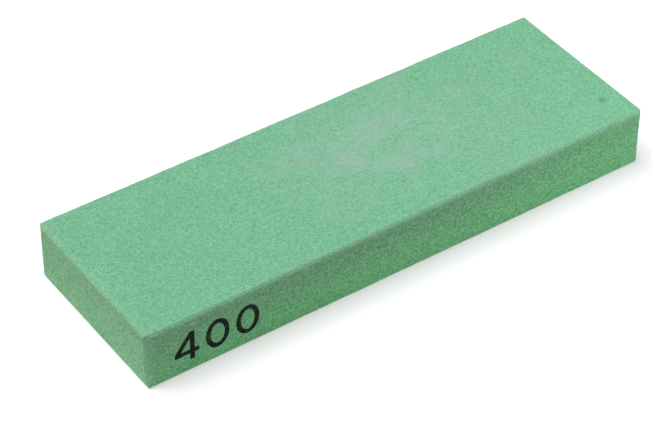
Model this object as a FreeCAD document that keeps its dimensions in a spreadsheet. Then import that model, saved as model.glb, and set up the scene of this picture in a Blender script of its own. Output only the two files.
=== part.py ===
"""Sharpening whetstone: one bonded abrasive block with its grit number inked on a long side.

Frame: origin at the centre of the bottom face, +X along the length, +Y across the width, +Z up.
The number is on the -Y side, starts near the -X end and reads towards +X. Sizes are in millimetres.
"""

import FreeCAD, Part
import math
import os

import Sketcher

# Driving dimensions: alias, value, what it is.
DIMENSIONS = [
    ("stone_length", 180.0, "overall length along X"),
    ("stone_width", 60.0, "overall width along Y"),
    ("stone_height", 20.0, "overall height along Z"),
    ("corner_break", 1.2, "chamfer of the four upright corners"),
    ("top_edge_break", 1.0, "chamfer around the working face"),
    ("bottom_edge_break", 0.6, "chamfer around the bottom face"),
    ("ink_depth", 0.2, "how deep the ink has soaked into the stone"),
    ("number_from_end", 9.0, "from the -X end to the left of the first digit"),
    ("number_below_middle", 0.2, "middle of the digits below the middle of the side"),
    ("digit_height", 10.6, "height of every digit"),
    ("digit_gap", 2.3, "clear space between two digits"),
    ("stroke_width", 1.6, "width of every stroke"),
    ("four_width", 8.2, "outside width of the four"),
    ("four_bar_height", 2.3, "underside of the four's crossbar, above its foot"),
    ("four_bar_end", 1.5, "how far the four's crossbar passes its stem"),
    ("zero_width", 7.9, "outside width of a nought"),
]

# The grit number: one node for each digit, in reading order, with the numeral it shows.
DIGITS = [
    ("grit_digit_hundreds", "four"),
    ("grit_digit_tens", "zero"),
    ("grit_digit_units", "zero"),
]

# Where the number lies: the side's plane, and the foot and the middle of its digits above the bottom.
SIDE_PLANE = "dims.stone_width / 2"
DIGIT_MIDDLE = "dims.stone_height / 2 - dims.number_below_middle"
DIGIT_FOOT = f"{DIGIT_MIDDLE} - dims.digit_height / 2"

# The sketcher's numbers for the two ends and the centre of a curve, and for the origin point.
START, END, CENTRE = 1, 2, 3
ORIGIN = (-1, START)

# How closely two lengths or two volumes that should be equal have to agree.
TOLERANCE = 1e-6

doc = FreeCAD.newDocument("Whetstone")


def make_sheet():
    """Puts the driving dimensions into a spreadsheet, each cell with its alias."""
    sheet = doc.addObject("Spreadsheet::Sheet", "dims")
    for row, (alias, number, meaning) in enumerate(DIMENSIONS, start=1):
        sheet.set(f"A{row}", meaning)
        sheet.set(f"B{row}", str(number))
        sheet.setAlias(f"B{row}", alias)
    doc.recompute()


def value(expression):
    """What an expression on the sheet's cells comes to."""
    return float(doc.dims.evalExpression(expression))


def add_body(label):
    body = doc.addObject("PartDesign::Body", label)
    body.Label = label
    doc.recompute()
    return body


def add_sketch(body, name, role, offset=None):
    """Adds a sketch on one of the body's own origin planes, or offset from it along its normal."""
    plane = next(feature for feature in body.Origin.OriginFeatures if feature.Role == role)
    sketch = body.newObject("Sketcher::SketchObject", name)
    sketch.AttachmentSupport = [(plane, "")]
    sketch.MapMode = "FlatFace"
    if offset:
        sketch.setExpression("AttachmentOffset.Base.z", offset)
    doc.recompute()
    return sketch


def tie(sketch, kind, *places):
    """Adds a constraint that has no size, such as Horizontal or Coincident."""
    sketch.addConstraint(Sketcher.Constraint(kind, *places))


def bind(sketch, kind, places, expression):
    """Adds a dimension to a sketch and binds it to the sheet."""
    index = sketch.addConstraint(Sketcher.Constraint(kind, *places, value(expression)))
    sketch.setExpression(f"Constraints[{index}]", expression)


def add_outline(sketch, points):
    """Draws lines through the points and back to the first, and returns the lines' numbers."""
    corners = [FreeCAD.Vector(across, up, 0) for across, up in points]
    ends = corners[1:] + corners[:1]
    lines = [sketch.addGeometry(Part.LineSegment(*pair), False) for pair in zip(corners, ends)]
    for line, following in zip(lines, lines[1:] + lines[:1]):
        tie(sketch, "Coincident", line, END, following, START)
    return lines


def draw_plan(sketch):
    """The stone's plan: a rectangle centred on the origin."""
    half_length = value("dims.stone_length / 2")
    half_width = value("dims.stone_width / 2")
    front, right, back, left = add_outline(sketch, [
        (-half_length, -half_width),
        (half_length, -half_width),
        (half_length, half_width),
        (-half_length, half_width),
    ])
    for line in (front, back):
        tie(sketch, "Horizontal", line)
    for line in (left, right):
        tie(sketch, "Vertical", line)
    tie(sketch, "Symmetric", front, START, back, START, *ORIGIN)
    bind(sketch, "DistanceX", (front, START, front, END), "dims.stone_length")
    bind(sketch, "DistanceY", (right, START, right, END), "dims.stone_width")


def draw_ellipse(sketch, centre, width, height):
    """An upright ellipse whose size is bound to two expressions; returns its number."""
    up = FreeCAD.Vector(0, value(height) / 2, 0)
    side = FreeCAD.Vector(-value(width) / 2, 0, 0)
    ellipse = sketch.addGeometry(Part.Ellipse(centre + up, centre + side, centre), False)
    sketch.exposeInternalGeometry(ellipse)
    long_axis, short_axis = ellipse + 1, ellipse + 2
    tie(sketch, "Vertical", long_axis)
    bind(sketch, "Distance", (long_axis,), height)
    bind(sketch, "Distance", (short_axis,), width)
    return ellipse


def draw_zero(sketch, left):
    """A plain nought: two ellipses about one centre. left is its left side, from the -X end."""
    from_origin = f"dims.stone_length / 2 - ({left}) - dims.zero_width / 2"
    centre = FreeCAD.Vector(-value(from_origin), value(DIGIT_MIDDLE), 0)
    outer = draw_ellipse(sketch, centre, "dims.zero_width", "dims.digit_height")
    inner = draw_ellipse(
        sketch, centre, "dims.zero_width - 2 * dims.stroke_width", "dims.digit_height - 2 * dims.stroke_width"
    )
    tie(sketch, "Coincident", outer, CENTRE, inner, CENTRE)
    bind(sketch, "DistanceX", (outer, CENTRE, *ORIGIN), from_origin)
    bind(sketch, "DistanceY", (*ORIGIN, outer, CENTRE), DIGIT_MIDDLE)


def draw_four(sketch, left):
    """A plain closed four: stem, crossbar and slope, with a three-sided eye."""
    from_origin = f"dims.stone_length / 2 - ({left})"
    bar_left = -value(from_origin)
    bar_right = bar_left + value("dims.four_width")
    stem_right = bar_right - value("dims.four_bar_end")
    stem_left = stem_right - value("dims.stroke_width")
    foot = value(DIGIT_FOOT)
    top = foot + value("dims.digit_height")
    bar_under = foot + value("dims.four_bar_height")
    bar_top = bar_under + value("dims.stroke_width")

    outline = add_outline(sketch, [
        (stem_left, foot), (stem_right, foot), (stem_right, bar_under), (bar_right, bar_under),
        (bar_right, bar_top), (stem_right, bar_top), (stem_right, top), (stem_left, top),
        (bar_left, bar_top), (bar_left, bar_under), (stem_left, bar_under),
    ])
    sole, stem_low, end_under, end_cap, end_top, stem_high, cap, slope, bar_cap, under, stem_back = outline
    for line in (sole, end_under, end_top, cap, under):
        tie(sketch, "Horizontal", line)
    for line in (stem_low, end_cap, stem_high, bar_cap, stem_back):
        tie(sketch, "Vertical", line)
    tie(sketch, "Horizontal", under, END, end_under, START)
    tie(sketch, "Vertical", stem_low, END, stem_high, START)
    tie(sketch, "Vertical", stem_back, START, slope, START)
    tie(sketch, "Equal", bar_cap, end_cap)
    bind(sketch, "Distance", (sole,), "dims.stroke_width")
    bind(sketch, "Distance", (end_cap,), "dims.stroke_width")
    bind(sketch, "Distance", (stem_back,), "dims.four_bar_height")
    bind(sketch, "Distance", (end_under,), "dims.four_bar_end")
    bind(sketch, "DistanceX", (under, START, end_cap, START), "dims.four_width")
    bind(sketch, "DistanceY", (sole, START, cap, END), "dims.digit_height")
    bind(sketch, "DistanceX", (under, START, *ORIGIN), from_origin)
    bind(sketch, "DistanceY", (*ORIGIN, sole, START), DIGIT_FOOT)

    run = stem_left - bar_left
    rise = top - bar_top
    slope_length = math.hypot(run, rise)
    eye_left = bar_left + value("dims.stroke_width") * slope_length / rise
    eye_top = top - value("dims.stroke_width") * slope_length / run
    eye_side, eye_slope, eye_floor = add_outline(sketch, [
        (stem_left, bar_top), (stem_left, eye_top), (eye_left, bar_top),
    ])
    tie(sketch, "Vertical", eye_side)
    tie(sketch, "Horizontal", eye_floor)
    tie(sketch, "Parallel", eye_slope, slope)
    tie(sketch, "Vertical", eye_side, START, slope, START)
    tie(sketch, "Horizontal", eye_side, START, end_top, END)
    bind(sketch, "Distance", (eye_slope, START, slope), "dims.stroke_width")


DRAW = {"four": draw_four, "zero": draw_zero}


def digit_places():
    """Each digit's node, its numeral, and its left side from the -X end as an expression."""
    left = "dims.number_from_end"
    places = []
    for label, numeral in DIGITS:
        places.append((label, numeral, left))
        left = f"{left} + dims.{numeral}_width + dims.digit_gap"
    return places


def break_edges(body, name, chosen, expression):
    """Chamfers the edges of the body so far that chosen picks."""
    solid = body.Tip
    edges = [f"Edge{number}" for number, edge in enumerate(solid.Shape.Edges, start=1) if chosen(edge)]
    chamfer = body.newObject("PartDesign::Chamfer", name)
    chamfer.Base = (solid, edges)
    chamfer.setExpression("Size", expression)
    doc.recompute()


def is_upright(edge):
    low, high = edge.Vertexes[0].Point, edge.Vertexes[1].Point
    return math.hypot(high.x - low.x, high.y - low.y) < TOLERANCE


def lies_at(height):
    """A test for the edges that lie flat at one height."""
    return lambda edge: all(abs(vertex.Z - height) < TOLERANCE for vertex in edge.Vertexes)


def make_block():
    """The stone: a slab with every edge broken, and a shallow recess where the ink has soaked in."""
    body = add_body("abrasive_block")
    plan = add_sketch(body, "plan", "XY_Plane")
    draw_plan(plan)
    slab = body.newObject("PartDesign::Pad", "slab")
    slab.Profile = plan
    slab.setExpression("Length", "dims.stone_height")
    doc.recompute()

    break_edges(body, "corner_breaks", is_upright, "dims.corner_break")
    break_edges(body, "top_break", lies_at(value("dims.stone_height")), "dims.top_edge_break")
    break_edges(body, "bottom_break", lies_at(0), "dims.bottom_edge_break")

    number = add_sketch(body, "number", "XZ_Plane", SIDE_PLANE)
    for label, numeral, left in digit_places():
        DRAW[numeral](number, left)
    recess = body.newObject("PartDesign::Pocket", "number_recess")
    recess.Profile = number
    recess.setExpression("Length", "dims.ink_depth")
    doc.recompute()
    return body


def make_digit(label, numeral, left):
    """One digit's ink, which fills its part of the recess flush with the side."""
    body = add_body(label)
    outline = add_sketch(body, f"{label}_outline", "XZ_Plane", SIDE_PLANE)
    DRAW[numeral](outline, left)
    ink = body.newObject("PartDesign::Pad", f"{label}_ink")
    ink.Profile = outline
    ink.setExpression("Length", "dims.ink_depth")
    ink.Reversed = True
    doc.recompute()
    return body


def check(bodies):
    """Stops if a feature failed, a sketch is loose, a solid is bad, or the ink doesn't fill its recess."""
    for item in doc.Objects:
        if "Invalid" in item.State or "Error" in item.State:
            raise RuntimeError(f"{item.Name} failed: {item.State}")
        if item.TypeId == "Sketcher::SketchObject" and not item.FullyConstrained:
            raise RuntimeError(f"{item.Name} isn't fully constrained")
    for body in bodies:
        if body.Shape.isNull() or not body.Shape.isValid() or len(body.Shape.Solids) != 1:
            raise RuntimeError(f"{body.Label} isn't one valid solid")
    block, digits = bodies[0], bodies[1:]
    recess_volume = doc.bottom_break.Shape.Volume - block.Shape.Volume
    ink_volume = sum(digit.Shape.Volume for digit in digits)
    if ink_volume <= 0 or abs(recess_volume - ink_volume) > TOLERANCE * block.Shape.Volume:
        raise RuntimeError(f"recess {recess_volume:.4f} mm3, ink {ink_volume:.4f} mm3")
    print(f"recess {recess_volume:.4f} mm3, ink {ink_volume:.4f} mm3")


def export(bodies):
    os.makedirs("parts", exist_ok=True)
    for body in bodies:
        body.Shape.exportStep(f"parts/{body.Label}.step")
        box = body.Shape.BoundBox
        size = f"{box.XLength:.2f} x {box.YLength:.2f} x {box.ZLength:.2f} mm"
        print(f"{body.Label}: {size}, {body.Shape.Volume:.2f} mm3")


make_sheet()
pieces = [make_block()]
pieces += [make_digit(*place) for place in digit_places()]
check(pieces)
export(pieces)
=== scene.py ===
# %% [markdown]
# # A sharpening whetstone
#
# A bench stone is one block of abrasive grains held by a fired bond. It is pressed in a mould and cured,
# and its edges are broken with a rub so that they don't crumble. Its grit number is printed in ink on one
# long side. The design file fixes the block and the three printed digits. This lesson gives them their
# looks: broken edges that are a little uneven, a grainy skin, greyish patches of dried slurry, and ink
# that follows the grain.

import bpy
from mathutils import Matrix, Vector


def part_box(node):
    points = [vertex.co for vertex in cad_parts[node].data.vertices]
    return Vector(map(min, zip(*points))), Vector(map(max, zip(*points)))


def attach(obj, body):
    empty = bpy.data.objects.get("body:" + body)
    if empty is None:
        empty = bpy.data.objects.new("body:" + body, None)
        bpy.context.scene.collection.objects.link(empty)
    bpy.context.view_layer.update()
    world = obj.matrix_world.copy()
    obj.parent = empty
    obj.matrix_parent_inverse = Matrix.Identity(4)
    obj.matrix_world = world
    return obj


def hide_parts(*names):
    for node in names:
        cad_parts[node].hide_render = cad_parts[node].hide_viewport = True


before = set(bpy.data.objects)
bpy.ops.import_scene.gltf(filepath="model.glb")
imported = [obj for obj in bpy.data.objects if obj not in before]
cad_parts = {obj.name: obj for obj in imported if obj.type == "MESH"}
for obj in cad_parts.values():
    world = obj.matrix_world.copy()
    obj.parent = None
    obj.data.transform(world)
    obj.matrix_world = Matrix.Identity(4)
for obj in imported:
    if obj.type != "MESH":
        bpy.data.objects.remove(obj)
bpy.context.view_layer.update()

# %% Tools that the lesson uses
import math

import bmesh
import bpy
from mathutils import Matrix, Vector, noise

MM = 0.001
scene = bpy.context.scene
print("design solids:", sorted(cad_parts))

# %% [markdown]
# ## The camera
#
# The stone is seen from above its numbered side, with the number's end nearest. A long lens from about
# 0.8 m keeps the far end nearly as large as the near end. The camera could be given as a matrix, but the
# angles of its line of sight and the point that it looks at say more, so it is placed by those.

# %% Place the camera
CAMERA_AZIMUTH = math.radians(-35.188)
CAMERA_ELEVATION = math.radians(40.694)
CAMERA_ROLL = math.radians(0.468)
CAMERA_DISTANCE = 781.8 * MM
CAMERA_LENS_MM = 143.3
SENSOR_WIDTH_MM = 36
NEAREST_SEEN = 10 * MM
LOOK_AT = Vector((-8.59, -0.435, 3.83)) * MM


def direction(azimuth, elevation):
    """The unit vector towards an azimuth, counted from -Y towards +X, and an elevation."""
    return Vector((
        math.sin(azimuth) * math.cos(elevation),
        -math.cos(azimuth) * math.cos(elevation),
        math.sin(elevation),
    ))


def place_camera():
    camera = bpy.data.objects.new("camera", bpy.data.cameras.new("camera"))
    camera.data.lens = CAMERA_LENS_MM
    camera.data.sensor_width = SENSOR_WIDTH_MM
    camera.data.clip_start = NEAREST_SEEN
    towards_camera = direction(CAMERA_AZIMUTH, CAMERA_ELEVATION)
    aim = towards_camera.to_track_quat("Z", "Y").to_matrix().to_4x4()
    spot = Matrix.Translation(LOOK_AT + towards_camera * CAMERA_DISTANCE)
    camera.matrix_world = spot @ aim @ Matrix.Rotation(CAMERA_ROLL, 4, "Z")
    scene.collection.objects.link(camera)
    scene.camera = camera
    return camera


camera = place_camera()
print("camera at", [round(value, 4) for value in camera.matrix_world.translation])

# %% [markdown]
# ## Sizes that the block gives
#
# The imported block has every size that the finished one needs: its box, and how far its edges are broken.
# They could be written here again, but a changed design would then leave this lesson behind. So they are
# read from the block's corners.

# %% Read the block's sizes
block_low, block_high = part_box("abrasive_block")
HALF_LENGTH = (block_high.x - block_low.x) / 2
HALF_WIDTH = (block_high.y - block_low.y) / 2
HEIGHT = block_high.z - block_low.z
TINY = 0.001 * MM

block_corners = [vertex.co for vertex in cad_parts["abrasive_block"].data.vertices]
TOP_BREAK = HALF_LENGTH - max(co.x for co in block_corners if co.z > block_high.z - TINY)
BOTTOM_BREAK = HALF_LENGTH - max(co.x for co in block_corners if co.z < block_low.z + TINY)
CORNER_BREAK = HALF_WIDTH - max(co.y for co in block_corners if co.x > block_high.x - TINY)
print("broken edges in mm:", [round(size / MM, 2) for size in (TOP_BREAK, BOTTOM_BREAK, CORNER_BREAK)])

# %% [markdown]
# ## The block: a lattice of small cells
#
# The stone could be a box with a bevel, but its edges would be as straight as a machined bar's. A real
# one is rubbed by hand, so the break is wider here and narrower there, and grains have dropped out of it.
# That needs cells small enough to move. A cube is cut into a lattice, and its cells are then spaced: fine
# near the edges, where the shape changes within a millimetre, and coarser on the flats, where only the
# grain shows.

# %% Cut a cube into a lattice
EDGE_BAND = 4.0 * MM
EDGE_CELL = 0.36 * MM
FLAT_CELL = 0.72 * MM


def band_spacing(half_size):
    """Places from -half_size to half_size: close together in the bands at both ends, wider between."""
    in_band = round(EDGE_BAND / EDGE_CELL)
    flat = 2 * (half_size - EDGE_BAND)
    on_flat = round(flat / FLAT_CELL)
    places = [-half_size + EDGE_BAND * step / in_band for step in range(in_band)]
    places += [-half_size + EDGE_BAND + flat * step / on_flat for step in range(on_flat)]
    places += [half_size - EDGE_BAND + EDGE_BAND * step / in_band for step in range(in_band + 1)]
    return places


def runs_along(edge, axis):
    """Whether an edge of the cube, whose sides are 1, is a whole side that runs along an axis."""
    return abs(edge.verts[0].co[axis] - edge.verts[1].co[axis]) > 0.5


def lattice_box(half_sizes, centre):
    """A closed box of quads whose vertices lie at band_spacing along each axis."""
    bm = bmesh.new()
    bmesh.ops.create_cube(bm, size=1.0)
    spacings = [band_spacing(half_size) for half_size in half_sizes]
    for axis, places in enumerate(spacings):
        along = [edge for edge in bm.edges if runs_along(edge, axis)]
        bmesh.ops.subdivide_edges(bm, edges=along, cuts=len(places) - 2, use_grid_fill=True)
    for vertex in bm.verts:
        steps = [round((vertex.co[axis] + 0.5) * (len(spacings[axis]) - 1)) for axis in range(3)]
        vertex.co = centre + Vector([spacings[axis][step] for axis, step in enumerate(steps)])
    return bm


stone = lattice_box((HALF_LENGTH, HALF_WIDTH, HEIGHT / 2), Vector((0, 0, HEIGHT / 2)))
print("lattice:", len(stone.verts), "vertices,", len(stone.faces), "faces")

# %% [markdown]
# ## Breaking the edges
#
# Each broken edge is a narrow flat between two faces. The bevel operator would make it equally wide from
# end to end, so the lattice is moved instead. A vertex that lies outside the flat goes back onto it, and
# a soft limit rounds the two creases, as rubbing does. The flat's width wanders along the edge, and here
# and there a few grains are missing. Edges that meet are broken one after another, each from where the
# last one left the vertex. No two upright corners are alike. The one beside the number was rubbed down
# the most, except at its foot, which is nearly sharp.

# %% Break every edge unevenly
CREASE_ROUNDING = 0.12 * MM
WANDER = 0.17
WANDER_LENGTH = 11.0 * MM
NIBBLE = 0.09
NIBBLE_LENGTH = 2.2 * MM
CHIP_LENGTH = 1.4 * MM
CHIP_RARITY = 0.38
CHIP_SHARE = 0.8
WEAR_REACH = 0.9 * MM

# Each upright corner's break along X and along Y, by the sides that it lies on.
UPRIGHT_BREAKS = {
    (-1, -1): (1.9 * MM, 1.9 * MM),
    (1, -1): (1.8 * MM, 1.9 * MM),
    (1, 1): (1.1 * MM, 1.1 * MM),
    (-1, 1): (0.9 * MM, 1.7 * MM),
}
RUBBED_CORNER_FOOT = 7.0 * MM
SHARP_FOOT = 0.2


def unevenness(co):
    """A break's size at a point, as a share of its plain size: it wanders, is nibbled, and chips."""
    wandering = 1 + WANDER * noise.noise(co / WANDER_LENGTH) + NIBBLE * noise.noise(co / NIBBLE_LENGTH)
    chip = max(0.0, noise.noise(co / CHIP_LENGTH) - CHIP_RARITY) * CHIP_SHARE
    return wandering + chip


def soft_limit(amount, softness):
    """About zero below zero and about amount above it, with a smooth turn between."""
    return (amount + math.hypot(amount, softness)) / 2


def upright_breaks(side_x, side_y, height):
    """How far the upright corner on two sides is broken along X and along Y, at a height."""
    along_x, along_y = UPRIGHT_BREAKS[side_x, side_y]
    if side_x < 0 and side_y < 0:
        foot = min(1.0, SHARP_FOOT + height / RUBBED_CORNER_FOOT)
        return along_x * foot, along_y * foot
    return along_x, along_y


def edges_near(co):
    """The three edges that could reach a point. Each has two sides: way out, face's place and break."""
    side_x, side_y = math.copysign(1, co.x), math.copysign(1, co.y)
    out_x, out_y = Vector((side_x, 0, 0)), Vector((0, side_y, 0))
    break_x, break_y = upright_breaks(side_x, side_y, co.z)
    if co.z > HEIGHT / 2:
        out_z, face_z, flat_break = Vector((0, 0, 1)), HEIGHT, TOP_BREAK
    else:
        out_z, face_z, flat_break = Vector((0, 0, -1)), 0.0, BOTTOM_BREAK
    return [
        ((out_x, HALF_LENGTH, break_x), (out_y, HALF_WIDTH, break_y)),
        ((out_x, HALF_LENGTH, flat_break), (out_z, face_z, flat_break)),
        ((out_y, HALF_WIDTH, flat_break), (out_z, face_z, flat_break)),
    ]


def break_edges(bm):
    """Moves the lattice onto the broken edges, and stores how near each vertex is to one."""
    wear_layer = bm.verts.layers.float.new("edge_wear")
    for vertex in bm.verts:
        wear = 0.0
        for (out_a, face_a, leg_a), (out_b, face_b, leg_b) in edges_near(vertex.co):
            past_a, past_b = vertex.co.dot(out_a) - face_a, vertex.co.dot(out_b) - face_b
            if min(past_a, past_b) < -2 * max(leg_a, leg_b) - 3 * WEAR_REACH:
                continue
            change = unevenness(vertex.co)
            leg_a, leg_b = leg_a * change, leg_b * change
            slope = math.hypot(1 / leg_a, 1 / leg_b)
            outside = (past_a / leg_a + past_b / leg_b + 1) / slope
            outward = (out_a / leg_a + out_b / leg_b) / slope
            vertex.co -= outward * soft_limit(outside, CREASE_ROUNDING)
            wear = max(wear, 1 + min(0.0, outside) / WEAR_REACH)
        vertex[wear_layer] = wear


break_edges(stone)
worn = stone.verts.layers.float["edge_wear"]
print("vertices on the broken edges:", sum(vertex[worn] > 0.5 for vertex in stone.verts))

# %% [markdown]
# ## The skin
#
# The faces are flat, but not smooth: grains stand out of the bond by a few hundredths of a millimetre,
# and the whole face is very slightly wavy from use. One small pit shows near the far end. Bump in the
# material could fake all of it, but the mesh should hold it too. Every vertex is moved inwards along its
# own normal, never outwards, so the stone stays inside its design.

# %% Give the faces their grain and waves
SKIN_DEPTH = 0.01 * MM
GRAIN_SIZE = 0.85 * MM
GRAIN_DEPTH = 0.022 * MM
WAVE_SIZE = 26.0 * MM
WAVE_DEPTH = 0.03 * MM
PIT_CENTRE = Vector((82.5 * MM, -18.5 * MM, HEIGHT))
PIT_RADIUS = 1.6 * MM
PIT_DEPTH = 0.3 * MM


def skin_relief(co):
    """How far the skin lies under the plain face at a point."""
    grain = GRAIN_DEPTH * (0.5 + 0.5 * noise.noise(co / GRAIN_SIZE))
    wave = WAVE_DEPTH * (0.5 + 0.5 * noise.noise(co / WAVE_SIZE))
    pit = PIT_DEPTH * max(0.0, 1 - (co - PIT_CENTRE).length / PIT_RADIUS)
    return SKIN_DEPTH + grain + wave + pit


stone.normal_update()
for vertex, normal in [(vertex, vertex.normal.copy()) for vertex in stone.verts]:
    vertex.co -= normal * skin_relief(vertex.co)


def finish_piece(bm, name, node):
    """Turns a bmesh into a smooth piece of the stone that stands for its CAD node."""
    for face in bm.faces:
        face.smooth = True
    mesh = bpy.data.meshes.new(name)
    bm.to_mesh(mesh)
    piece = bpy.data.objects.new(name, mesh)
    scene.collection.objects.link(piece)
    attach(piece, "root")
    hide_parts(node)
    return piece


block = finish_piece(stone, "whetstone_block", "abrasive_block")
print("block:", len(block.data.polygons), "quads, mm:", [round(size / MM, 2) for size in block.dimensions])

# %% [markdown]
# ## The printed number
#
# The digits are ink, so they have hardly any thickness: they follow the grain under them, and their
# outlines are slightly ragged. A texture could paint them, but a thin film of its own can be moved to
# another stone. Each film starts from its design solid. That is cut into small cells, its rim is frayed,
# and it is laid on the stone's skin by casting rays at the skin from outside.

# %% Lay the digits on the skin
from mathutils.bvhtree import BVHTree

INK_CELL = 0.4 * MM
INK_PROUD = 0.018 * MM
INK_SUNK = 0.06 * MM
FRAY_SIZE = 0.55 * MM
FRAY = 0.09 * MM
OUTSIDE = 5.0 * MM
INTO_SIDE = Vector((0, 1, 0))

stone_surface = BVHTree.FromBMesh(stone)


def cut_into_cells(bm, low, high, axis, cell):
    """Cuts a mesh with evenly spaced planes across one axis."""
    cuts = round((high[axis] - low[axis]) / cell)
    across = Vector([float(number == axis) for number in range(3)])
    for step in range(1, cuts):
        place = low + (high - low) * (step / cuts)
        everything = bm.verts[:] + bm.edges[:] + bm.faces[:]
        bmesh.ops.bisect_plane(bm, geom=everything, plane_co=place, plane_no=across, dist=TINY / 10)


def fray_rim(bm):
    """Moves the rim in and out along the face of the stone."""
    bm.normal_update()
    moves = []
    for vertex in bm.verts:
        rim_faces = [face.normal for face in vertex.link_faces if abs(face.normal.y) < 0.5]
        if rim_faces:
            outward = sum(rim_faces, Vector())
            outward.y = 0
            spot = Vector((vertex.co.x, 0, vertex.co.z)) / FRAY_SIZE
            moves.append((vertex, outward.normalized() * FRAY * noise.noise(spot)))
    for vertex, move in moves:
        vertex.co += move


def lay_on_skin(bm, front):
    """Puts the front of a film just proud of the stone's skin and its back just under it."""
    for vertex in bm.verts:
        start = Vector((vertex.co.x, front - OUTSIDE, vertex.co.z))
        skin = stone_surface.ray_cast(start, INTO_SIDE)[0].y
        is_front = vertex.co.y < front + TINY
        vertex.co.y = skin - INK_PROUD if is_front else skin + INK_SUNK


def ink_digit(node):
    """The ink film of one digit, made from its design solid."""
    bm = bmesh.new()
    bm.from_mesh(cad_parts[node].data)
    bmesh.ops.remove_doubles(bm, verts=bm.verts, dist=TINY)
    bmesh.ops.dissolve_limit(bm, angle_limit=math.radians(1), verts=bm.verts, edges=bm.edges)
    low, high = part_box(node)
    cut_into_cells(bm, low, high, 0, INK_CELL)
    cut_into_cells(bm, low, high, 2, INK_CELL)
    fray_rim(bm)
    lay_on_skin(bm, low.y)
    piece = finish_piece(bm, node.replace("grit", "ink"), node)
    bm.free()
    return piece


digits = [ink_digit(node) for node in sorted(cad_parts) if node.startswith("grit_digit")]
stone.free()
for digit in digits:
    print(digit.name, len(digit.data.polygons), "faces")

# %% [markdown]
# ## Small helpers for the materials
#
# A material is a tree of nodes. It could be wired by hand in the node editor, but a script can be read
# from top to bottom. These helpers keep each step of a tree on a line or two. Nearly all of a cloud's
# values lie between CLOUD_LOW and CLOUD_HIGH, so a step that follows a cloud stretches that range.

# %% Node helpers
CLOUD_LOW = 0.3
CLOUD_HIGH = 0.7
RIM_FARTHEST_OUT = 0.6
RIM_FARTHEST_IN = 1.5


def add_node(tree, kind, values=None, **settings):
    """Adds a node. values fills its inputs, with a number, a colour or another node's output."""
    node = tree.nodes.new(kind)
    for name, setting in settings.items():
        setattr(node, name, setting)
    for socket, value in (values or {}).items():
        if isinstance(value, bpy.types.NodeSocket):
            tree.links.new(value, node.inputs[socket])
        else:
            node.inputs[socket].default_value = value
    return node


def new_material(name):
    """A material with its tree, its shader and the object coordinates that patterns are laid out in."""
    material = bpy.data.materials.new(name)
    material.use_nodes = True
    tree = material.node_tree
    place = add_node(tree, "ShaderNodeTexCoord").outputs["Object"]
    return material, tree, tree.nodes["Principled BSDF"], place


def cloud(tree, place, size, detail=2.0, shift=(0.0, 0.0, 0.0)):
    """Soft noise whose patches are about size across. Another shift gives another pattern."""
    spot = add_node(tree, "ShaderNodeVectorMath", {0: place, 1: shift}, operation="ADD")
    values = {"Vector": spot.outputs[0], "Scale": 1 / size, "Detail": detail}
    return add_node(tree, "ShaderNodeTexNoise", values).outputs["Fac"]


def to_range(tree, value, from_low, from_high, low, high):
    """Stretches a value from one range to another, and holds it there."""
    values = {"Value": value, "From Min": from_low, "From Max": from_high, "To Min": low, "To Max": high}
    return add_node(tree, "ShaderNodeMapRange", values).outputs[0]


def follow_cloud(tree, cloud_value, low, high):
    """A value from low to high that rises and falls with a cloud."""
    return to_range(tree, cloud_value, CLOUD_LOW, CLOUD_HIGH, low, high)


def calculate(tree, operation, first, second=0.0):
    return add_node(tree, "ShaderNodeMath", {0: first, 1: second}, operation=operation).outputs[0]


def blend_colours(tree, share, first, second, mode="MIX"):
    """Blends a share of the second colour into the first. A colour is an output or three numbers."""
    first_socket, second_socket, result_socket = 6, 7, 2
    values = {0: share}
    for socket, colour in ((first_socket, first), (second_socket, second)):
        values[socket] = colour if isinstance(colour, bpy.types.NodeSocket) else (*colour, 1.0)
    return add_node(tree, "ShaderNodeMix", values, data_type="RGBA", blend_type=mode).outputs[result_socket]


def near_point(tree, place, centre, reach, ragged):
    """1 at a point, fading to 0 at a reach along each axis, with a rim that a cloud makes ragged."""
    apart = add_node(tree, "ShaderNodeVectorMath", {0: place, 1: centre}, operation="SUBTRACT").outputs[0]
    shares = add_node(tree, "ShaderNodeVectorMath", {0: apart, 1: reach}, operation="DIVIDE").outputs[0]
    share = add_node(tree, "ShaderNodeVectorMath", {0: shares}, operation="LENGTH").outputs["Value"]
    raggedness = follow_cloud(tree, ragged, RIM_FARTHEST_OUT, RIM_FARTHEST_IN)
    return to_range(tree, calculate(tree, "MULTIPLY", share, raggedness), 0.0, 1.0, 1.0, 0.0)


print("a step that follows a cloud stretches", CLOUD_LOW, "to", CLOUD_HIGH)

# %% [markdown]
# ## The stone's grain
#
# Green abrasive grains in a bond give a fine speckle, each grain a little lighter or darker than the
# next. A cloud alone would look smoky, so each cell of a Voronoi pattern has a tone of its own, and a
# fine cloud is added to it. Wider clouds of a warmer green come from the pressing.

# %% Colour the grains
SPECK_SIZE = 0.45 * MM
BLOTCH_SIZE = 4.0 * MM
BLOTCH_SHIFT = (0.3, 0.3, 0.3)
BLOTCH_SHARE = 0.35
DARK_GRAIN = (0.061, 0.275, 0.093)
PALE_GRAIN = (0.229, 0.599, 0.297)
WARM_GREEN = (0.190, 0.420, 0.185)


def speckle_tone(tree, place, fine):
    """How light each grain is, from about 0 for the darkest to about 2 for the palest."""
    cells = add_node(tree, "ShaderNodeTexVoronoi", {"Vector": place, "Scale": 1 / SPECK_SIZE})
    tone = add_node(tree, "ShaderNodeSeparateColor", {"Color": cells.outputs["Color"]}).outputs["Red"]
    return calculate(tree, "ADD", tone, to_range(tree, fine, 0.25, 0.75, 0.0, 1.0))


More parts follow.
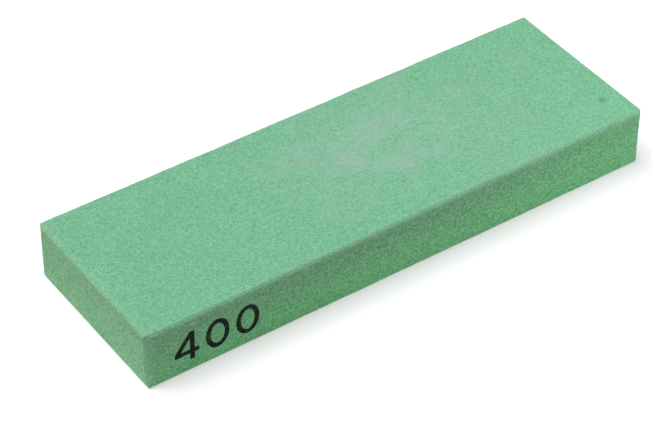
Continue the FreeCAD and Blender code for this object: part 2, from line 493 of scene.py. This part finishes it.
def grain_colour(tree, place, speckle, drift):
    """The green of the grains under the pressing's clouds."""
    grains = blend_colours(tree, to_range(tree, speckle, 0.35, 1.65, 0.07, 0.93), DARK_GRAIN, PALE_GRAIN)
    blotch = cloud(tree, place, BLOTCH_SIZE, detail=3.0, shift=BLOTCH_SHIFT)
    warmth = to_range(tree, blotch, 0.45, 0.75, 0.0, BLOTCH_SHARE)
    clouded = blend_colours(tree, warmth, grains, WARM_GREEN)
    return blend_colours(tree, 1.0, clouded, follow_cloud(tree, drift, 0.96, 1.04), "MULTIPLY")


print("specks in mm:", round(SPECK_SIZE / MM, 2))

# %% [markdown]
# ## The faces' greens, with painted sheen and shade
#
# The working face is painted a cooler, paler green than the sides, a painted sheen standing in for the cool
# light from above. The upper part of the sides is painted darker and greyer, a painted shade that is less
# towards the far end and less on the two ends, which are a little paler. A plain colour blended in would
# wash the speckle out, so the sides' tints multiply the green under them instead.

# %% Tint the faces
# Painted sheen: the working face is blended towards a cooler, paler green, for the cool light from above.
TOP_SHEEN_GREEN = (0.162, 0.331, 0.309)
TOP_SHEEN_SHARE = 0.35
WORKING_FACE_STARTS = HEIGHT - TOP_BREAK
WORKING_FACE_IS_FULL = HEIGHT - 0.2 * TOP_BREAK

# Painted shade on the sides: darker and greyer towards the top, less towards the far end and on the ends.
SIDE_SHADE_TINT = (0.90, 0.69, 0.86)
SIDE_SHADE_FROM = 3.0 * MM
SIDE_SHADE_FULL = 17.0 * MM
SIDE_SHADE_EASES_FROM = 20.0 * MM
NEAR_SIDE_SHADE_SHARE = 1.05
FAR_SIDE_SHADE_SHARE = 0.55
END_SIDE_SHADE_SHARE = 0.43

END_TINT = (1.20, 0.94, 1.12)
END_STARTS = HALF_LENGTH - CORNER_BREAK
END_IS_FULL = HALF_LENGTH - 0.3 * CORNER_BREAK


def tint_faces(tree, place, drift, colour):
    """Paints a cool sheen on the working face and shade on the sides' upper part, and tints the ends."""
    position = add_node(tree, "ShaderNodeSeparateXYZ", {0: place}).outputs
    along, height = position["X"], position["Z"]
    # Painted sheen on the working face: a share of a cooler, paler green.
    top_sheen = to_range(tree, height, WORKING_FACE_STARTS, WORKING_FACE_IS_FULL, 0.0, TOP_SHEEN_SHARE)
    colour = blend_colours(tree, top_sheen, colour, TOP_SHEEN_GREEN)

    under_top = to_range(tree, height, WORKING_FACE_STARTS, HEIGHT, 1.0, 0.0)
    from_middle = calculate(tree, "ABSOLUTE", along)
    on_end = to_range(tree, from_middle, END_STARTS, END_IS_FULL, 0.0, 1.0)
    # Painted shade on the sides, growing from near the foot to just under the top edge.
    shaded = to_range(tree, height, SIDE_SHADE_FROM, SIDE_SHADE_FULL, 0.0, 1.0)
    for share in (
        under_top,
        to_range(tree, along, SIDE_SHADE_EASES_FROM, HALF_LENGTH, NEAR_SIDE_SHADE_SHARE, FAR_SIDE_SHADE_SHARE),
        to_range(tree, on_end, 0.0, 1.0, 1.0, END_SIDE_SHADE_SHARE),
        follow_cloud(tree, drift, 0.7, 1.0),
    ):
        shaded = calculate(tree, "MULTIPLY", shaded, share)
    colour = blend_colours(tree, shaded, colour, SIDE_SHADE_TINT, "MULTIPLY")
    end_share = calculate(tree, "MULTIPLY", on_end, under_top)
    return blend_colours(tree, end_share, colour, END_TINT, "MULTIPLY")


# The painted shade on the sides, from the height where it starts to where it is full.
print("handled from", round(SIDE_SHADE_FROM / MM), "mm up, fully at", round(SIDE_SHADE_FULL / MM), "mm")

# %% [markdown]
# ## Stains and marks
#
# Slurry left greyish patches about the middle of the working face, thick here and thin there. There are
# three small marks too: a brown spot and a pale scratch under the top edge of the numbered side, and the
# dark pit. They could be painted on an image, but a mark that fades out from a point can be moved by
# changing its centre and its reach.

# %% Stain and mark the stone
SLURRY_GREY = (0.370, 0.395, 0.420)
SLURRY_THIN = 0.06
SLURRY_THICK = 0.46
STREAK_SIZE = 10.0 * MM
STREAK_SHIFT = (0.1006, 0.1029, 0.11)

# Each patch's centre, its reach along each axis, and its strength.
SLURRY_PATCHES = [
    (Vector((7.0, 6.0, 20.0)) * MM, Vector((44.0, 27.0, 6.0)) * MM, 1.0),
    (Vector((36.0, -4.0, 20.0)) * MM, Vector((66.0, 44.0, 6.0)) * MM, 0.4),
]

RUST_BROWN = (0.200, 0.200, 0.070)
RUST_CENTRE = Vector((72.5, -30.0, 17.3)) * MM
RUST_REACH = Vector((1.3, 1.5, 1.7)) * MM
SCRATCH_PALE = (0.330, 0.500, 0.360)
SCRATCH_CENTRE = Vector((-74.6, -30.0, 17.4)) * MM
SCRATCH_REACH = Vector((1.4, 1.0, 0.45)) * MM
PIT_GREEN = (0.060, 0.180, 0.095)
PIT_REACH = Vector((PIT_RADIUS, PIT_RADIUS, PIT_RADIUS))

# Each small mark's centre, its reach along each axis, its strength and its colour.
SMALL_MARKS = [
    (RUST_CENTRE, RUST_REACH, 0.7, RUST_BROWN),
    (SCRATCH_CENTRE, SCRATCH_REACH, 1.0, SCRATCH_PALE),
    (PIT_CENTRE, PIT_REACH, 0.8, PIT_GREEN),
]


def stain(tree, place, fine, drift, colour):
    """Adds the slurry patches and the small marks."""
    streaks = cloud(tree, place, STREAK_SIZE, detail=2.5, shift=STREAK_SHIFT)
    for centre, reach, strength in SLURRY_PATCHES:
        slurry = near_point(tree, place, centre, reach, drift)
        share = to_range(tree, streaks, 0.34, 0.72, SLURRY_THIN * strength, SLURRY_THICK * strength)
        colour = blend_colours(tree, calculate(tree, "MULTIPLY", slurry, share), colour, SLURRY_GREY)
    for centre, reach, strength, mark_colour in SMALL_MARKS:
        mark = calculate(tree, "MULTIPLY", near_point(tree, place, centre, reach, fine), strength)
        colour = blend_colours(tree, mark, colour, mark_colour)
    return colour


print("stains:", len(SLURRY_PATCHES), "slurry patches and", len(SMALL_MARKS), "small marks")

# %% [markdown]
# ## The stone's whole finish
#
# Grain, tints with painted sheen and shade, and stains come together here. The broken edges get a little
# paler, partly from bruised grains and partly as a painted highlight along the breaks. That paling could be
# painted by hand, but how near a vertex is to a broken edge was stored while the edges were broken, so it
# follows them exactly. All of it is matt, and paler grains stand out a little.

# %% Make the stone's material
DRIFT_SIZE = 16.0 * MM
DRIFT_SHIFT = (0.7, 0.7, 0.7)
# Paler green on the broken edges: partly bruised grains, partly a painted highlight.
BRUISE_AND_HIGHLIGHT_GREEN = (0.230, 0.410, 0.270)
LEAST_EDGE_PALING = 0.1
MOST_EDGE_PALING = 0.4
STONE_GLOSS = 0.25
STONE_BUMP = 0.03 * MM
STONE_BUMP_STRENGTH = 0.6


def stone_material():
    material, tree, shader, place = new_material("abrasive_stone")
    fine = cloud(tree, place, SPECK_SIZE, detail=2.0)
    drift = cloud(tree, place, DRIFT_SIZE, detail=3.0, shift=DRIFT_SHIFT)
    speckle = speckle_tone(tree, place, fine)
    colour = grain_colour(tree, place, speckle, drift)
    colour = tint_faces(tree, place, drift, colour)
    colour = stain(tree, place, fine, drift, colour)

    wear = add_node(tree, "ShaderNodeAttribute", attribute_name="edge_wear").outputs["Fac"]
    # Partly painted highlight: the broken edges are blended paler, for bruised grains and for light
    # catching the breaks.
    bruise_and_highlight = to_range(tree, fine, 0.35, 0.65, LEAST_EDGE_PALING, MOST_EDGE_PALING)
    colour = blend_colours(tree, calculate(tree, "MULTIPLY", wear, bruise_and_highlight), colour, BRUISE_AND_HIGHLIGHT_GREEN)

    tree.links.new(colour, shader.inputs["Base Color"])
    tree.links.new(follow_cloud(tree, fine, 0.80, 0.95), shader.inputs["Roughness"])
    shader.inputs["Specular IOR Level"].default_value = STONE_GLOSS
    bump_values = {"Height": speckle, "Distance": STONE_BUMP, "Strength": STONE_BUMP_STRENGTH}
    bump = add_node(tree, "ShaderNodeBump", bump_values)
    tree.links.new(bump.outputs["Normal"], shader.inputs["Normal"])
    return material


abrasive = stone_material()
block.data.materials.append(abrasive)
print("stone material:", len(abrasive.node_tree.nodes), "nodes")

# %% [markdown]
# ## The ink's finish
#
# The ink is a nearly black green that has soaked in. It could be one flat black, but grains that took
# little ink show as fine lighter specks, and in places the ink is scuffed thin.

# %% Make the ink's material
INK_BLACK = (0.0015, 0.0035, 0.0025)
INK_THIN = (0.050, 0.115, 0.065)
INK_SPECK_SIZE = 0.5 * MM
SCUFF_SIZE = 2.2 * MM
SCUFF_SHIFT = (0.013, 0.013, 0.013)
INK_GLOSS = 0.12
INK_BUMP = 0.05 * MM
INK_BUMP_STRENGTH = 0.7


def ink_material():
    material, tree, shader, place = new_material("grade_ink")
    fine = cloud(tree, place, INK_SPECK_SIZE, detail=3.0)
    scuffed = cloud(tree, place, SCUFF_SIZE, detail=3.0, shift=SCUFF_SHIFT)
    specks = to_range(tree, fine, 0.50, 0.78, 0.0, 0.5)
    thin = calculate(tree, "ADD", specks, to_range(tree, scuffed, 0.56, 0.78, 0.0, 0.6))
    colour = blend_colours(tree, thin, INK_BLACK, INK_THIN)
    tree.links.new(colour, shader.inputs["Base Color"])
    tree.links.new(follow_cloud(tree, fine, 0.65, 0.90), shader.inputs["Roughness"])
    shader.inputs["Specular IOR Level"].default_value = INK_GLOSS
    bump_values = {"Height": fine, "Distance": INK_BUMP, "Strength": INK_BUMP_STRENGTH}
    bump = add_node(tree, "ShaderNodeBump", bump_values)
    tree.links.new(bump.outputs["Normal"], shader.inputs["Normal"])
    return material


ink = ink_material()
for digit in digits:
    digit.data.materials.append(ink)
print("ink material:", len(ink.node_tree.nodes), "nodes, on", len(digits), "digits")

# %% [markdown]
# ## The floor
#
# The stone lies on a plain pale sheet. A sheet that is only lit would turn grey beside the stone, so this
# one also glows a little, as lit acrylic does, and the stone's shadow stays faint.

# %% Lay the floor
FLOOR_SIZE = 12.0
FLOOR_WHITE = (0.50, 0.50, 0.50)
FLOOR_CLOUD_SIZE = 0.4
FLOOR_ROUGHNESS = 0.9
FLOOR_GLOSS = 0.2
FLOOR_GLOW = 0.47


def make_floor():
    bm = bmesh.new()
    bmesh.ops.create_grid(bm, x_segments=1, y_segments=1, size=FLOOR_SIZE / 2)
    mesh = bpy.data.meshes.new("floor")
    bm.to_mesh(mesh)
    bm.free()
    floor = bpy.data.objects.new("floor", mesh)
    scene.collection.objects.link(floor)
    material, tree, shader, place = new_material("pale_floor")
    shade = follow_cloud(tree, cloud(tree, place, FLOOR_CLOUD_SIZE), 0.98, 1.0)
    tree.links.new(blend_colours(tree, 1.0, FLOOR_WHITE, shade, "MULTIPLY"), shader.inputs["Base Color"])
    shader.inputs["Roughness"].default_value = FLOOR_ROUGHNESS
    shader.inputs["Specular IOR Level"].default_value = FLOOR_GLOSS
    shader.inputs["Emission Color"].default_value = (1.0, 1.0, 1.0, 1.0)
    shader.inputs["Emission Strength"].default_value = FLOOR_GLOW
    mesh.materials.append(material)


make_floor()
print("floor in metres:", FLOOR_SIZE, "x", FLOOR_SIZE)

# %% [markdown]
# ## The light
#
# A broad soft sun stands high behind the number's end. A low panel beyond the far end makes the numbered
# side brighter towards it. The world is dim above and pale near the horizon, so a low view has a pale
# backdrop. Panels alone could do it, but they fade with distance, and a sun is equally bright all over.

# %% Set the lights
WORLD_ABOVE = 0.07
WORLD_HORIZON = 0.9
HORIZON_BAND = 0.12

SUN_STRENGTH = 3.95
SUN_SPREAD = math.radians(50)
PANEL_WATTS = 0.125
PANEL_SIZE = 120 * MM


def light_world():
    """A world that is pale near the horizon and dim above it."""
    world = bpy.data.worlds.new("studio")
    world.use_nodes = True
    tree = world.node_tree
    way = add_node(tree, "ShaderNodeTexCoord").outputs["Generated"]
    rise = add_node(tree, "ShaderNodeSeparateXYZ", {0: way}).outputs["Z"]
    strength = to_range(tree, rise, HORIZON_BAND / 2, HORIZON_BAND, WORLD_HORIZON, WORLD_ABOVE)
    tree.links.new(strength, tree.nodes["Background"].inputs["Strength"])
    tree.nodes["Background"].inputs["Color"].default_value = (1.0, 1.0, 1.0, 1.0)
    scene.world = world


def add_light(name, kind, energy, azimuth, elevation, distance, target, **settings):
    """A light that looks at target from an azimuth and an elevation in degrees, and a distance."""
    lamp = bpy.data.lights.new(name, kind)
    lamp.energy = energy
    for setting, value in settings.items():
        setattr(lamp, setting, value)
    holder = bpy.data.objects.new(name, lamp)
    back = direction(math.radians(azimuth), math.radians(elevation))
    turn = back.to_track_quat("Z", "Y").to_matrix().to_4x4()
    holder.matrix_world = Matrix.Translation(target + back * distance) @ turn
    holder.visible_camera = False
    scene.collection.objects.link(holder)
    print(name, "at", [round(value, 2) for value in holder.matrix_world.translation])


light_world()
add_light(
    "high_sun", "SUN", energy=SUN_STRENGTH, azimuth=-132, elevation=69, distance=2.0,
    target=Vector(), angle=SUN_SPREAD,
)
far_end = Vector((HALF_LENGTH, -HALF_WIDTH, HEIGHT / 2))
add_light(
    "far_end_panel", "AREA", energy=PANEL_WATTS, azimuth=25, elevation=25, distance=180 * MM,
    target=far_end, shape="DISK", size=PANEL_SIZE,
)
scene.view_settings.view_transform = "Standard"
